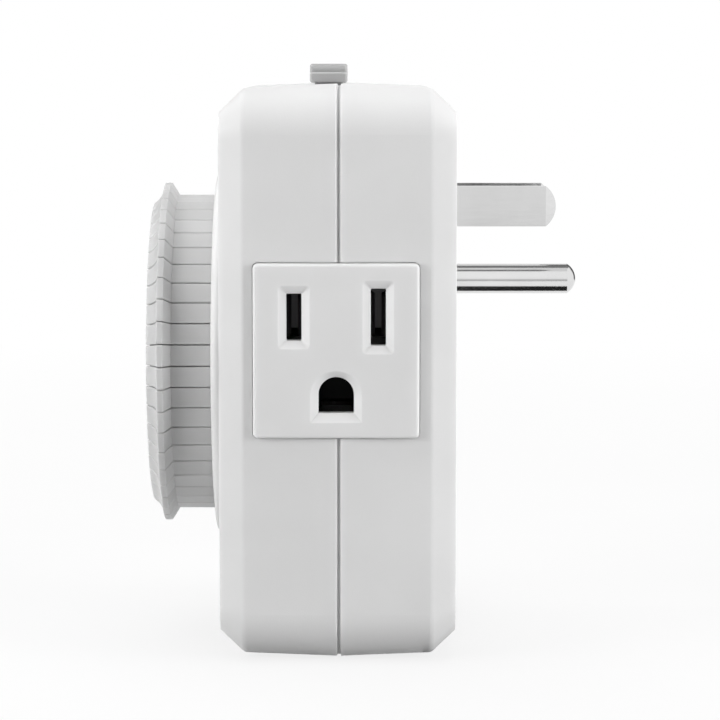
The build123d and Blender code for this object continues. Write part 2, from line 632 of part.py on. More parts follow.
def line_strip():
    """From the line blade up and forward to the fixed contact and the override's tab."""
    inner, outer = SWITCH_X - LEAF_WIDTH / 2, SWITCH_X + LEAF_WIDTH / 2
    top = (LINE_UP, LINE_UP + STRIP)
    depth = (FOOT_FRONT, FOOT_FRONT + STRIP)
    strip = block((BLADE_SPACING / 2 - 2, outer), depth, (LINE_BOTTOM, top[1]))
    strip += block((inner, outer), (FOOT_FRONT, LEAF_FRONT + STRIP), top)
    tab = (TAB_OUTS[0] - TAB_WIDTH / 2, TAB_OUTS[0] + TAB_WIDTH / 2)
    strip += block((inner, inner + STRIP), tab, (BRIDGE_UP - STRIP, top[1]))
    return strip + block((TAB_END, inner + STRIP), tab, (BRIDGE_UP - STRIP, BRIDGE_UP))


def fixed_contact():
    return rivet(LINE_UP - RIVET_HEIGHT)


def rivet(up):
    """Round silver contact at the switch's contact point."""
    return Pos(SWITCH_X, -CONTACT_OUT, up + RIVET_HEIGHT / 2) * Cylinder(RIVET_RADIUS, RIVET_HEIGHT)


def load_bus():
    """From the switch down to the line contacts of both outlets."""
    low_high = (LOAD_UP, LOAD_UP + STRIP_WIDTH)
    foot = CONTACT_FOOT + STRIP / 2
    bus = bent_strip([(foot, FAR_CONTACT), (-foot, NEAR_CONTACT)], low_high)
    bus += blade_clip(FAR_CONTACT, SLOT_UP) + other_side(blade_clip(FAR_CONTACT, SLOT_UP))
    riser, riser_end = LOAD_RISER, LOAD_RISER + LOAD_RISER_WIDTH
    back = LEAF_BACK - STRIP
    bus += block((riser, riser_end), (back, LEAF_BACK), (LOAD_UP, LEAF_UP - RUNNING))
    bus += block((riser_end - 2.3, riser_end - 2.3 + STRIP), (back, OUTLET_OUT + 3.6), low_high)
    shelf = (LEAF_UP - RUNNING - STRIP, LEAF_UP - RUNNING)
    bus += block((riser, SWITCH_X + LEAF_WIDTH / 2), (back, LEAF_BACK + 2.6), shelf)
    tab = (TAB_OUTS[1] - TAB_WIDTH / 2, TAB_OUTS[1] + TAB_WIDTH / 2)
    low = LEAF_UP - 0.4 - STRIP_WIDTH
    bus += block((riser, riser + STRIP), (back, tab[1]), (low, low + STRIP_WIDTH))
    bus += block((riser, riser + STRIP), tab, (low, BRIDGE_UP))
    return bus + block((TAB_END, riser + STRIP), tab, (BRIDGE_UP - STRIP, BRIDGE_UP))


def neutral_bus():
    """From the neutral blade down to the neutral contacts of both outlets."""
    low_high = (NEUTRAL_UP, NEUTRAL_UP + STRIP_WIDTH)
    foot = CONTACT_FOOT + STRIP / 2
    x = BLADE_SPACING / 2
    bus = bent_strip([(foot, NEAR_CONTACT), (-foot, FAR_CONTACT)], low_high)
    bus += blade_clip(NEAR_CONTACT, SLOT_UP) + other_side(blade_clip(NEAR_CONTACT, SLOT_UP))
    bus += block((-x - 2, -x + 2), (FOOT_FRONT, FOOT_FRONT + STRIP), (NEUTRAL_UP, 3.2))
    return bus + block((-x - 0.3, -x + 0.3), (FOOT_FRONT, OUTLET_OUT + 3.4), low_high)


def ground_bus():
    """From the ground pin to the ground contacts of both outlets."""
    low_high = (GROUND_UP - GROUND_CLIP_HALF, GROUND_UP + GROUND_CLIP_HALF)
    foot = CONTACT_FOOT + STRIP / 2
    bus = bent_strip([(-foot, OUTLET_OUT), (foot, OUTLET_OUT)], low_high)
    bus += ground_clip() + other_side(ground_clip())
    bus += block((-2, 2), (FOOT_FRONT, FOOT_FRONT + STRIP), (low_high[0], -GROUND_DROP + 2))
    return bus + block((-0.3, 0.3), (FOOT_FRONT, OUTLET_OUT), low_high)


# ---- timer switch ----
def contact_leaf():
    leaf = block(
        (SWITCH_X - LEAF_WIDTH / 2, SWITCH_X + LEAF_WIDTH / 2),
        (LEAF_BACK + RUNNING, LEAF_FRONT),
        (LEAF_UP, LEAF_UP + LEAF_THICKNESS),
    )
    return fillet(leaf.edges().filter_by(Axis.Z), 0.8)


def moving_contact():
    return rivet(LEAF_UP + LEAF_THICKNESS)


def follower_lever():
    """Rocker: its nose feels the tappets' ends and its arm lifts the contact leaf."""
    across = Plane(origin=(0, -LEVER_OUT, LEVER_UP), x_dir=(0, 1, 0), z_dir=(1, 0, 0))
    left, right = LEVER_SPAN
    lever = extrude(across.offset(left) * Circle(LEVER_SHAFT), right - left)
    pivots = across.offset(left - TRUNNION_LENGTH) * Circle(TRUNNION)
    lever += extrude(pivots, right - left + 2 * TRUNNION_LENGTH)
    width = (-NOSE_WIDTH / 2, NOSE_WIDTH / 2)
    low, high = NOSE_UP - NOSE_THICKNESS / 2, NOSE_UP + NOSE_THICKNESS / 2
    back = LEVER_OUT - LEVER_SHAFT
    lever += block(width, (back, back + NOSE_THICKNESS), (low, LEVER_UP))
    tip = block(width, (back, LEG_BACK - LOOSE), (low, high))
    tip = fillet(tip.edges().filter_by(Axis.X).group_by(Axis.Y)[0], 0.4 * NOSE_THICKNESS)
    reach = (SWITCH_X - LEVER_ARM_WIDTH / 2, SWITCH_X + LEVER_ARM_WIDTH / 2)
    arm = block(reach, (LEVER_OUT - LEVER_ARM, LEVER_OUT), (LEVER_UP + 0.2, LEVER_UP + 1.4))
    arm = fillet(arm.edges().filter_by(Axis.X).group_by(Axis.Y)[-1], 0.5)
    return lever + tip + arm


# ---- override slider ----
def override_slider():
    """Thumb piece on top, a neck through the slot, and a foot for the bridge contact."""
    x = -SLIDER_TRAVEL / 2
    profile = Plane(origin=(x, -SLIDER_OUT, CASE_TOP + THUMB_GAP), x_dir=(1, 0, 0), z_dir=(0, -1, 0))
    base = Pos(0, THUMB_HEIGHT / 2) * RectangleRounded(THUMB_LENGTH, THUMB_HEIGHT, 0.3)
    ridge = RectangleRounded(THUMB_LENGTH * RIDGE_SHARE, 2 * RIDGE_HEIGHT, 0.9)
    thumb = extrude(profile * (base + Pos(0, THUMB_HEIGHT) * ridge), THUMB_WIDTH / 2, both=True)
    ends = thumb.faces().sort_by(Axis.Y)
    thumb = fillet([edge for end in (ends[0], ends[-1]) for edge in end.edges()], THUMB_ROUND)
    neck = THUMB_LENGTH / 2 - NECK_INSET
    across = THUMB_WIDTH / 2 - NECK_INSET
    depth = (SLIDER_OUT - across, SLIDER_OUT + across)
    flange_top = CASE_TOP - WALL - 0.4
    slider = thumb + block((x - neck, x + neck), depth, (flange_top, CASE_TOP + 0.5))
    reach = neck + SLIDER_TRAVEL + 0.8
    wide = (SLIDER_OUT - across - 2, SLIDER_OUT + across + 2)
    slider += block((x - reach, x + reach), wide, (FLANGE_UP, flange_top + 0.1))
    foot = (BRIDGE_UP + RUNNING + STRIP, FLANGE_UP + 0.1)
    length = BRIDGE_LENGTH / 2 - 0.4
    return slider + block((x - 4.0, x), (SLIDER_OUT - length, SLIDER_OUT + length), foot)


def bridge_contact():
    """Strip under the slider that joins the line and load tabs when it is slid over."""
    x = -SLIDER_TRAVEL / 2
    bridge = block(
        (x - 3.5, x - 0.5),
        (SLIDER_OUT - BRIDGE_LENGTH / 2, SLIDER_OUT + BRIDGE_LENGTH / 2),
        (BRIDGE_UP + RUNNING, BRIDGE_UP + RUNNING + STRIP),
    )
    return fillet(bridge.edges().filter_by(Axis.Z), 0.6)


# ---- motor ----
def motor_cup():
    cup = disc(MOTOR_RADIUS, WALL, GEARBOX_BACK, 0, MOTOR_UP)
    cup -= disc(MOTOR_RADIUS - CUP_WALL, WALL + CUP_WALL, GEARBOX_BACK + 1, 0, MOTOR_UP)
    top = MOTOR_UP + MOTOR_RADIUS
    return cup - block((-6.2, 6.2), (WALL + 3.8, WALL + 7.2), (top - 4, top + 1))


def motor_coil():
    """Wound bobbin with a terminal block through the cup's wall."""
    start, end = WALL + CUP_WALL, GEARBOX_BACK - 0.2
    coil = slab(ring(ROTOR_RADIUS + 1.0, MOTOR_RADIUS - CUP_WALL - 0.2), start, end, 0, MOTOR_UP)
    waist = ring(MOTOR_RADIUS - CUP_WALL - 1.2, MOTOR_RADIUS)
    coil -= slab(waist, start + 1, end - 1, 0, MOTOR_UP)
    top = MOTOR_UP + MOTOR_RADIUS
    return coil + block((-6, 6), (WALL + 4, WALL + 7), (top - 3.5, top + 2))


def motor_rotor():
    start, end = WALL + CUP_WALL + 0.4, GEARBOX_BACK - 0.6
    rotor = disc(ROTOR_RADIUS, start + 0.6, end - 0.6, 0, MOTOR_UP)
    return rotor + disc(0.6, start, end, 0, MOTOR_UP)


def motor_gearbox():
    """Closed gear case on the motor's front, with the output shaft's bush and two ears."""
    step = GEARBOX_BACK + 2
    case = disc(MOTOR_RADIUS, GEARBOX_BACK, step, 0, MOTOR_UP)
    case += fillet(
        disc(MOTOR_RADIUS - 1.4, step - 0.5, GEARBOX_FRONT, 0, MOTOR_UP).edges().sort_by(Axis.Y)[0], 0.8
    )
    ears = SlotOverall(2 * (EAR_X + EAR_RADIUS), 2 * EAR_RADIUS)
    case += slab(ears, GEARBOX_BACK, GEARBOX_BACK + 1.2, 0, MOTOR_UP)
    case += disc(2.5, GEARBOX_FRONT - 0.5, GEARBOX_FRONT + 1.5, OUTPUT_X, OUTPUT_UP)
    case -= disc(ARBOR_RADIUS + RUNNING, step, GEARBOX_FRONT + 2, OUTPUT_X, OUTPUT_UP)
    holes = [disc(1.1, GEARBOX_BACK - 1, GEARBOX_BACK + 2, side * EAR_X, MOTOR_UP) for side in (-1, 1)]
    return case - holes


def motor_pinion():
    """Output shaft and its pinion."""
    shaft = disc(ARBOR_RADIUS, GEARBOX_BACK + 2.3, SECOND_OUT, OUTPUT_X, OUTPUT_UP)
    teeth = pinion_outline(OUTPUT_ANGLE + 180)
    return shaft + slab(teeth, SECOND_OUT - 0.2, SECOND_OUT + 1.6, OUTPUT_X, OUTPUT_UP)


def motor_lead(side, end_up):
    """Insulated lead from the terminal block up to a strip's lower edge."""
    x, out = side * 4.0, WALL + 5.5
    strip_out = FOOT_FRONT + STRIP / 2
    start = MOTOR_UP + MOTOR_RADIUS + 2
    path = FilletPolyline(
        (x, -out, start),
        (x, -out, start + 8),
        (side * BLADE_SPACING / 2, -strip_out, start + 14),
        (side * BLADE_SPACING / 2, -strip_out, end_up),
        radius=4,
    )
    return sweep(Plane(origin=(x, -out, start), z_dir=(0, 0, 1)) * Circle(0.6), path=path)


def small_screw(x, start, seat, up, head_back):
    """Pan head screw whose shank starts at `start` and whose head sits on `seat`."""
    head = (seat - 1.0, seat) if head_back else (seat, seat + 1.0)
    shank = (min(start, seat), max(start, seat))
    return disc(SMALL_SCREW, *shank, x, up) + disc(SMALL_HEAD, *head, x, up)


def inner_screws():
    """Screws that hold the movement plate and the motor."""
    screws = Part()
    for x, up in PLATE_POSTS:
        screws += small_screw(x, PLATE_OUT + 6, PLATE_OUT, up, True)
    for side in (-1, 1):
        screws += small_screw(side * EAR_X, WALL + 4, GEARBOX_BACK + 1.2, MOTOR_UP, False)
    return screws


# ---- movement ----
def movement_plate():
    """Plate that carries the back ends of the arbors."""
    spots = PLATE_POSTS + [(SECOND_X, SECOND_UP), (OUTPUT_X, OUTPUT_UP), (0, DRIVE_UP)]
    pads = Sketch() + [Pos(x, up) * Circle(3.4) for x, up in spots]
    outline = make_hull(pads.edges())
    holes = [Pos(x, up) * Circle(1.0) for x, up in PLATE_POSTS]
    holes += [Pos(0, DRIVE_UP) * Circle(ARBOR_RADIUS + RUNNING)]
    holes += [Pos(SECOND_X, SECOND_UP) * Circle(ARBOR_RADIUS)]
    holes += [Pos(OUTPUT_X, OUTPUT_UP) * Circle(ARBOR_RADIUS + LOOSE)]
    return slab(outline - holes, PLATE_OUT, PLATE_OUT + PLATE_THICKNESS)


def second_pin():
    return disc(ARBOR_RADIUS, PLATE_OUT, TROUGH_BACK - 0.2, SECOND_X, SECOND_UP)


def second_wheel():
    """Wheel driven by the motor, with its own pinion moulded on."""
    pinion_end = CLUTCH_OUT + WHEEL_THICKNESS + 0.2
    wheel = slab(wheel_outline(OUTPUT_ANGLE), SECOND_OUT, SECOND_OUT + WHEEL_THICKNESS)
    wheel -= slab(ring(3.4, 7.6), SECOND_OUT + 0.8, SECOND_OUT + WHEEL_THICKNESS)
    wheel += slab(pinion_outline(SECOND_ANGLE + 180), SECOND_OUT + 0.5, pinion_end)
    wheel += disc(2.2, PLATE_OUT + PLATE_THICKNESS + 0.1, SECOND_OUT + 0.5)
    wheel -= disc(ARBOR_RADIUS + RUNNING, PLATE_OUT, pinion_end + 1)
    return Pos(SECOND_X, 0, SECOND_UP) * wheel


def clutch_wheel():
    """Last wheel of the train, held to the drive arbor by friction."""
    wheel = slab(wheel_outline(SECOND_ANGLE), CLUTCH_OUT, CLUTCH_OUT + WHEEL_THICKNESS)
    holes = Sketch() + PolarLocations(6.2, 5) * Circle(1.7) + Circle(ARBOR_RADIUS + RUNNING)
    wheel -= slab(holes, CLUTCH_OUT - 1, CLUTCH_OUT + 3)
    return Pos(0, 0, DRIVE_UP) * wheel


def clutch_washer():
    """Dished spring washer that presses the wheel against the arbor's collar."""
    start = CLUTCH_OUT + WHEEL_THICKNESS + RUNNING
    washer = disc(3.6, start, start + 0.3) + disc(2.2, start + 0.2, start + 0.6)
    return Pos(0, 0, DRIVE_UP) * (washer - disc(ARBOR_RADIUS, start - 1, start + 2))


def drive_arbor():
    """Arbor through the front wall: collars behind, the dial's pinion in front."""
    collar_end = CLUTCH_OUT + WHEEL_THICKNESS + RUNNING + 0.6
    arbor = disc(ARBOR_RADIUS, PLATE_OUT - 0.4, HUB_FRONT - 2.8)
    arbor += disc(1.8, PLATE_OUT + PLATE_THICKNESS + 0.1, CLUTCH_OUT - RUNNING)
    return Pos(0, 0, DRIVE_UP) * (arbor + disc(1.8, collar_end, collar_end + 0.8))


def drive_pinion():
    teeth = tooth_outline(DRIVE_TEETH, DIAL_MODULE, 0.9, DEDENDUM, BACKLASH, -90)
    gear = slab(teeth - Circle(ARBOR_RADIUS), CARRIER_BACK + 0.4, CARRIER_BACK + RING_GEAR_WIDTH - 0.2)
    return Pos(0, 0, DRIVE_UP) * gear


# ---- dial ----
def dial_carrier():
    """Hollow wheel on the case's post, with the ring gear inside and a key slot per tappet."""
    bore = POST_RADIUS + RUNNING
    hub = bore + HUB_WALL
    lip = CARRIER_OUTER - FACE_LIP
    cap_seat = CAP_RADIUS + CAP_ROOM
    web_back = HUB_FRONT - CARRIER_WEB
    carrier = turned(
        Polyline(
            (bore, HUB_BACK),
            (hub, HUB_BACK),
            (hub, web_back),
            (CARRIER_INNER, web_back),
            (CARRIER_INNER, CARRIER_BACK),
            (CARRIER_OUTER, CARRIER_BACK),
            (CARRIER_OUTER, FACE_SEAT + FACE_THICKNESS),
            (lip, FACE_SEAT + FACE_THICKNESS),
            (lip, FACE_SEAT),
            (cap_seat, FACE_SEAT),
            (cap_seat, HUB_FRONT),
            (bore, HUB_FRONT),
            close=True,
        )
    )
    space = tooth_outline(DIAL_TEETH, DIAL_MODULE, DEDENDUM, 0.75, -BACKLASH, -90)
    band = Circle(CARRIER_INNER + 0.5) - space
    carrier += slab(band, CARRIER_BACK, CARRIER_BACK + RING_GEAR_WIDTH, 0, DIAL_UP)
    rib = block((-0.5, 0.5), (web_back - 1.4, web_back + 0.2), (hub - 0.5, CARRIER_INNER + 0.5))
    rib = Pos(0, 0, DIAL_UP) * rib
    carrier += [rib.rotate(DIAL_AXIS, 30 + 60 * turn) for turn in range(6)]
    slot_floor = LEG_INNER - KEY_HEIGHT - SLIDING
    half = KEY_WIDTH / 2 + SLIDING / 2
    slot = block((-half, half), (CARRIER_BACK - 1, KEY_FRONT + 0.1), (slot_floor, LEG_INNER + 1))
    slot = (Pos(0, 0, DIAL_UP) * slot).rotate(DIAL_AXIS, PITCH / 2)
    return carrier - [slot.rotate(DIAL_AXIS, PITCH * turn) for turn in range(TAPPETS)]


def dial_face():
    """Printed ring with the hours, laid in the carrier's front."""
    band = ring(CAP_RADIUS + CAP_ROOM, CARRIER_OUTER - FACE_LIP - SLIDING)
    return slab(band, FACE_SEAT, FACE_SEAT + FACE_THICKNESS, 0, DIAL_UP)


def index_cap():
    """Fixed cap that keeps the dial on its post; its raised arrow marks the time."""
    front = CAP_SEAT + CAP_THICKNESS
    cap = disc(CAP_RADIUS, CAP_SEAT, front)
    cap = fillet(cap.edges().sort_by(Axis.Y)[0], CAP_ROUND)
    cap += disc(CAP_STEM_RADIUS, CAP_SEAT - CAP_STEM_LENGTH, CAP_SEAT + 0.2)
    tip, foot, half = ARROW
    arrow = make_face(Polyline((0, tip), (half, foot), (-half, foot), close=True))
    return Pos(0, 0, DIAL_UP) * (cap + slab(arrow, CAP_SEAT + 0.5, front + ARROW_PROUD))


def is_outer(edge):
    """Whether a tappet's edge is on its outside, and not on its end in the groove."""
    middle = edge.center()
    radius = hypot(middle.X, middle.Z - DIAL_UP)
    return radius > LEG_INNER + 0.05 and -middle.Y > LEG_BACK + 0.05


def tappet():
    """One push tappet at the top of the dial: a flared head, a leg and a key."""
    slope_front = DIAL_FRONT - RIM_NOSE_DEPTH - RIM_WIDTH
    nose = (RIM_NOSE_RADIUS, DIAL_FRONT)
    shoulder = (RIM_RADIUS, DIAL_FRONT - RIM_NOSE_DEPTH)
    outline = Polyline(
        shoulder,
        (RIM_RADIUS, slope_front),
        (DRUM_RADIUS, slope_front - RIM_SLOPE),
        (DRUM_RADIUS, LEG_BACK),
        (LEG_INNER, LEG_BACK),
        (LEG_INNER, DIAL_FRONT),
        nose,
    )
    brow = SagittaArc(shoulder, nose, RIM_NOSE_BULGE)
    radial = Plane(origin=(0, 0, DIAL_UP), x_dir=(0, 0, 1), z_dir=(1, 0, 0))
    gap = degrees(TAPPET_GAP / DRUM_RADIUS)
    section = radial * make_face([outline.edges(), brow])
    body = revolve(section, DIAL_AXIS, revolution_arc=PITCH - gap).rotate(DIAL_AXIS, gap / 2)
    sides = body.faces().filter_by(GeomType.PLANE).filter_by(Axis.Y, reverse=True)
    body = chamfer([edge for side in sides for edge in side.edges() if is_outer(edge)], TAPPET_EDGE)
    key = block(
        (-KEY_WIDTH / 2, KEY_WIDTH / 2),
        (KEY_FRONT - KEY_LENGTH, KEY_FRONT),
        (LEG_INNER - KEY_HEIGHT, LEG_INNER + 0.5),
    )
    return body + (Pos(0, 0, DIAL_UP) * key).rotate(DIAL_AXIS, PITCH / 2)


def hour_tappets(hour):
    """The two half-hour tappets of one hour; hour 24 is under the arrow."""
    first = tappet().rotate(DIAL_AXIS, -15 * hour)
    return Compound([first, first.rotate(DIAL_AXIS, -PITCH)])


# ---- every piece, under its node's name ----
def all_pieces():
    pieces = {
        "front_housing": front_housing(),
        "rear_housing": rear_housing(),
        "case_screws": Compound([Pos(x, 0, up) * case_screw() for x, up in SCREW_SPOTS]),
        "outlet_insert_right": outlet_insert(),
        "outlet_insert_left": other_side(outlet_insert()),
        "line_blade": blade(BLADE_SPACING / 2),
        "neutral_blade": blade(-BLADE_SPACING / 2),
        "ground_pin": ground_pin(),
        "blade_holder": blade_holder(),
        "line_strip": line_strip(),
        "fixed_contact": fixed_contact(),
        "load_bus": load_bus(),
        "neutral_bus": neutral_bus(),
        "ground_bus": ground_bus(),
        "contact_leaf": contact_leaf(),
        "moving_contact": moving_contact(),
        "follower_lever": follower_lever(),
        "override_slider": override_slider(),
        "bridge_contact": bridge_contact(),
        "motor_cup": motor_cup(),
        "motor_coil": motor_coil(),
        "motor_rotor": motor_rotor(),
        "motor_gearbox": motor_gearbox(),
        "motor_pinion": motor_pinion(),
        "motor_leads": Compound([motor_lead(-1, NEUTRAL_UP), motor_lead(1, LINE_BOTTOM)]),
        "inner_screws": inner_screws(),
        "movement_plate": movement_plate(),
        "second_pin": second_pin(),
        "second_wheel": second_wheel(),
        "clutch_wheel": clutch_wheel(),
        "clutch_washer": clutch_washer(),
        "drive_arbor": drive_arbor(),
        "drive_pinion": drive_pinion(),
        "dial_carrier": dial_carrier(),
        "dial_face": dial_face(),
        "index_cap": index_cap(),
    }
    for hour in range(1, 25):
        pieces[f"tappets_{hour:02d}"] = hour_tappets(hour)
    return pieces


os.makedirs("parts", exist_ok=True)
for name, piece in all_pieces().items():
    export_step(piece, f"parts/{name}.step")
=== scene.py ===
import bpy
import json
from math import cos, pi, sin
from mathutils import Matrix, Vector


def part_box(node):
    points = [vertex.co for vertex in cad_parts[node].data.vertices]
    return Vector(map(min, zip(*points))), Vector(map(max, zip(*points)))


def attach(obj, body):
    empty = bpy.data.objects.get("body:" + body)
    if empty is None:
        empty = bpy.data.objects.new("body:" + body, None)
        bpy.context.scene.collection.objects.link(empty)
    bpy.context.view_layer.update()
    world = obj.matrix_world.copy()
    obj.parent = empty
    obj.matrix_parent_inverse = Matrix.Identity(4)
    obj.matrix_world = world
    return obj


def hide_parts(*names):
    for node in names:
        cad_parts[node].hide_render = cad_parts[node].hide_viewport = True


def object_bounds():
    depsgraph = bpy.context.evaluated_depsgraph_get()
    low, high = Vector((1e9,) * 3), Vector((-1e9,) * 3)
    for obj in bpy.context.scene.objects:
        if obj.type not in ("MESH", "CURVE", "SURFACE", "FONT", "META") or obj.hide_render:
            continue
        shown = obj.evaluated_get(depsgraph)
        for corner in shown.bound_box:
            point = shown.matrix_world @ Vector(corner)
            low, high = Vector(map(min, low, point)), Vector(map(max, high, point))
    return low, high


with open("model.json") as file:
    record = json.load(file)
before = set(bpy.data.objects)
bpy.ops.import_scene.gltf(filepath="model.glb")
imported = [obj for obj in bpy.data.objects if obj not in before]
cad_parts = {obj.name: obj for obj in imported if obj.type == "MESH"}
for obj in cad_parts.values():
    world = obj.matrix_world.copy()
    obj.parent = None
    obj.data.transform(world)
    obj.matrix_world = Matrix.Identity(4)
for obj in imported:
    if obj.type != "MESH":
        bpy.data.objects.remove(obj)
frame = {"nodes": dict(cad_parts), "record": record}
cad_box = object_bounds()
nodes = frame["nodes"]
MM = 0.001

# ---- camera: at the right-hand outlet's side, a little above the middle, looking slightly down ----
CAMERA_PLACE = Vector((489.63, -14.61, 22.64)) * MM
CAMERA_DIP = 0.0971         # radians below the horizon
CAMERA_LENS = 152.93        # mm
SENSOR = 36.0               # mm
CLIP_START = 10 * MM

# ---- light ----
AMBIENT = 0.12              # strength of the world's light on things
FLOOR_SIDE = 4.0
FLOOR_GLOW = 0.8            # share of plain white that the camera sees near the object
FLOOR_NEAR = 0.12           # distance from the middle up to which the share is that
FLOOR_FAR = 0.5             # distance from which the floor is plain white
FLOOR_SEEN = 228            # grey level of the paper that the camera sees
FLOOR_TONE = 2              # how much that level varies either way
FLOOR_CLOUD = 60 * MM       # size of its blotches
FLOOR_ROUGHNESS = 0.9
FLOOR_BOUNCE = 170          # darker for the light that the floor throws back on the object
LAMPS = {
    # name: (place from the object's middle, width and height, watts)
    "overhead": ((-0.12, -0.07, 0.8), (0.7, 0.9), 6.0),
    "front_wide": ((0.35, -0.65, 0.15), (0.5, 0.6), 4.9),
    "back_wide": ((0.27, 0.74, 0.05), (0.5, 0.6), 8.8),
    "left_fill": ((-0.9, 0.0, 0.05), (0.9, 0.3), 2.4),
}
OUT_OF_MIRRORS = ("overhead", "back_wide", "left_fill")     # lamps that reflections don't show
CARDS = {
    # name: (lowest corner, highest corner, brightness) of a flat card that only reflections show.
    # The cards give the prongs their dark and grey bands, and the dark ones on either side also keep
    # the white backdrop's image off surfaces that are seen at a flat angle
    "card_below": ((-0.017, -0.005, -0.0679), (0.035, 0.07, -0.0679), 0.02),
    "card_low": ((0.15, -0.1, -0.06), (0.15, 0.12, -0.015), 0.5),
    "card_beside": ((0.15, -0.03, -0.015), (0.15, 0.05, 0.006), 0.85),
    "card_above": ((-0.02, -0.2, 0.34), (0.2, 0.4, 0.34), 0.78),
    "card_behind": ((-0.43, -0.2, 0.34), (-0.02, 0.4, 0.34), 0.2),
    "card_far_side": ((-0.4, 0.1, -0.06), (-0.4, 0.5, 0.3), 0.12),
    "card_near_side": ((-0.4, -0.5, -0.06), (-0.4, -0.06, 0.3), 0.12),
    "card_front_right": ((0.4, -0.75, 0.03), (0.4, -0.2, 0.3), 0.12),
}

# ---- what lies where ----
FACE_LOW, FACE_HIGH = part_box("dial_face")
CAP_LOW, CAP_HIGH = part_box("index_cap")
OUTLET_LOW, OUTLET_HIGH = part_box("outlet_insert_right")
FACE_RADIUS = (FACE_HIGH.x - FACE_LOW.x) / 2
CAP_RADIUS = (CAP_HIGH.x - CAP_LOW.x) / 2
DIAL_UP = (FACE_HIGH.z + FACE_LOW.z) / 2
GROUND_TOP = (OUTLET_HIGH.z + OUTLET_LOW.z) / 2             # between the ground hole and the slots
FACE_WALL = 3.0 * MM        # thickness of the outlet's face in front of its chambers

# ---- rear housing's lower bevel ----
FLUSH = 0.02 * MM           # what lies this far outside it is trimmed
SLANTED = 0.6               # least share of its normal that points back, and that points down

# ---- plastics ----
SPREAD_SHARE = 1.0          # share of light that spreads inside the pale ones
SPREAD_DEPTH = 1.0 * MM
TONE_SIZE = 14 * MM         # size of the slow changes of tone
TAPPET_SHADE = 150          # grey level that a tappet's tone leans to
TAPPET_LEAN = 0.12          # the most that it does
CHAMBER_PAINTED_SHADE = 40          # grey level of the painted shade inside the outlets' contact chambers
CHAMBER_EDGE = 0.9 * FACE_WALL      # depths below the outlet's face where that shade begins
CHAMBER_DEEP = 1.6 * FACE_WALL      # and where it is full

# ---- metals ----
LINE_SIZE = 6 * MM          # length of the fine lines
LINE_STRETCH = 18           # length to width
LINE_DEPTH = 0.002 * MM
CLOUD_SIZE = 5 * MM         # size of the slow changes of tone
CONTACT_PAINTED_SHADE_EDGE = 22 * MM      # depths below the outlet's face where the contacts' painted shade begins
CONTACT_PAINTED_SHADE_FULL = 20.5 * MM    # and from which outwards it is full
CONTACT_PAINTED_SHADE_STEP = 1 * MM       # height over which it changes above the ground hole
GROUND_PAINTED_SHADE = 40         # grey level of the painted shade in the ground hole
SLOT_PAINTED_SHADE = 150         # and in the slots

# ---- print on the dial's face ----
HOURS = 24
PRINT_SUNK = 0.02 * MM
PRINT_RAISED = 0.02 * MM
NUMERAL_SIZE = 3.0 * MM
NUMERAL_SPACING = 0.9
NUMERAL_SHARE = 0.4         # how far the numerals stand from the cap's edge to the face's
NUMERAL_RADIUS = CAP_RADIUS + NUMERAL_SHARE * (FACE_RADIUS - CAP_RADIUS)
TICK_INSET = 0.7 * MM
TICK_OUTER = FACE_RADIUS - TICK_INSET
HOUR_TICK = (0.34 * MM, 2.4 * MM)           # width and length
HALF_TICK = (0.22 * MM, 1.3 * MM)
ARROW = ((0, 9.0), (1.9, 5.1), (-1.9, 5.1))     # corners in mm from the dial's middle, x and up


# ---- node trees ----
class Tree:
    """A material's node tree, with short ways to add and join nodes."""

    def __init__(self, name):
        self.material = bpy.data.materials.new(name)
        self.material.use_nodes = True
        self.nodes = self.material.node_tree.nodes
        self.links = self.material.node_tree.links
        self.shader = self.nodes["Principled BSDF"]
        self.place = self.nodes.new("ShaderNodeTexCoord").outputs["Object"]

    def put(self, socket, value):
        """Gives a socket a number or colour, or joins it to another socket."""
        if isinstance(value, bpy.types.NodeSocket):
            self.links.new(value, socket)
        else:
            socket.default_value = value

    def math(self, kind, first, second=0.0):
        """One arithmetic step."""
        node = self.nodes.new("ShaderNodeMath")
        node.operation = kind
        self.put(node.inputs[0], first)
        self.put(node.inputs[1], second)
        return node.outputs[0]

    def axes(self):
        """The three object coordinates, apart."""
        node = self.nodes.new("ShaderNodeSeparateXYZ")
        self.put(node.inputs[0], self.place)
        return node.outputs

    def stretched(self, scale):
        """Object coordinates times a scale for each axis."""
        node = self.nodes.new("ShaderNodeMapping")
        self.put(node.inputs["Vector"], self.place)
        node.inputs["Scale"].default_value = scale
        return node.outputs["Vector"]

    def noise(self, size, detail=3.0, roughness=0.5, place=None):
        """Noise whose blotches are about `size` metres across."""
        node = self.nodes.new("ShaderNodeTexNoise")
        self.put(node.inputs["Vector"], place or self.place)
        node.inputs["Scale"].default_value = 1 / size
        node.inputs["Detail"].default_value = detail
        node.inputs["Roughness"].default_value = roughness
        return node.outputs["Fac"]

    def spread(self, value, low, high, start=0.3, end=0.7):
        """Value from start to end turned into low to high."""
        node = self.nodes.new("ShaderNodeMapRange")
        for name, number in (("Value", value), ("From Min", start), ("From Max", end)):
            self.put(node.inputs[name], number)
        node.inputs["To Min"].default_value = low
        node.inputs["To Max"].default_value = high
        return node.outputs["Result"]

    def blend(self, factor, first, second):
        """Two colours mixed by a factor."""
        node = self.nodes.new("ShaderNodeMix")
        node.data_type = "RGBA"
        self.put(node.inputs[0], factor)
        self.put(node.inputs[6], first)
        self.put(node.inputs[7], second)
        return node.outputs[2]

    def bump(self, height, depth):
        """Height turned into a bump `depth` metres deep."""
        node = self.nodes.new("ShaderNodeBump")
        node.inputs["Distance"].default_value = depth
        self.put(node.inputs["Height"], height)
        return node.outputs["Normal"]

    def set(self, **values):
        """Sets sockets of the shader, with _ for a space in a socket's name."""
        for name, value in values.items():
            self.put(self.shader.inputs[name.replace("_", " ")], value)
        return self.material


def grey(level):
    """Neutral colour written as an sRGB level from 0 to 255."""
    return rgb(level, level, level)


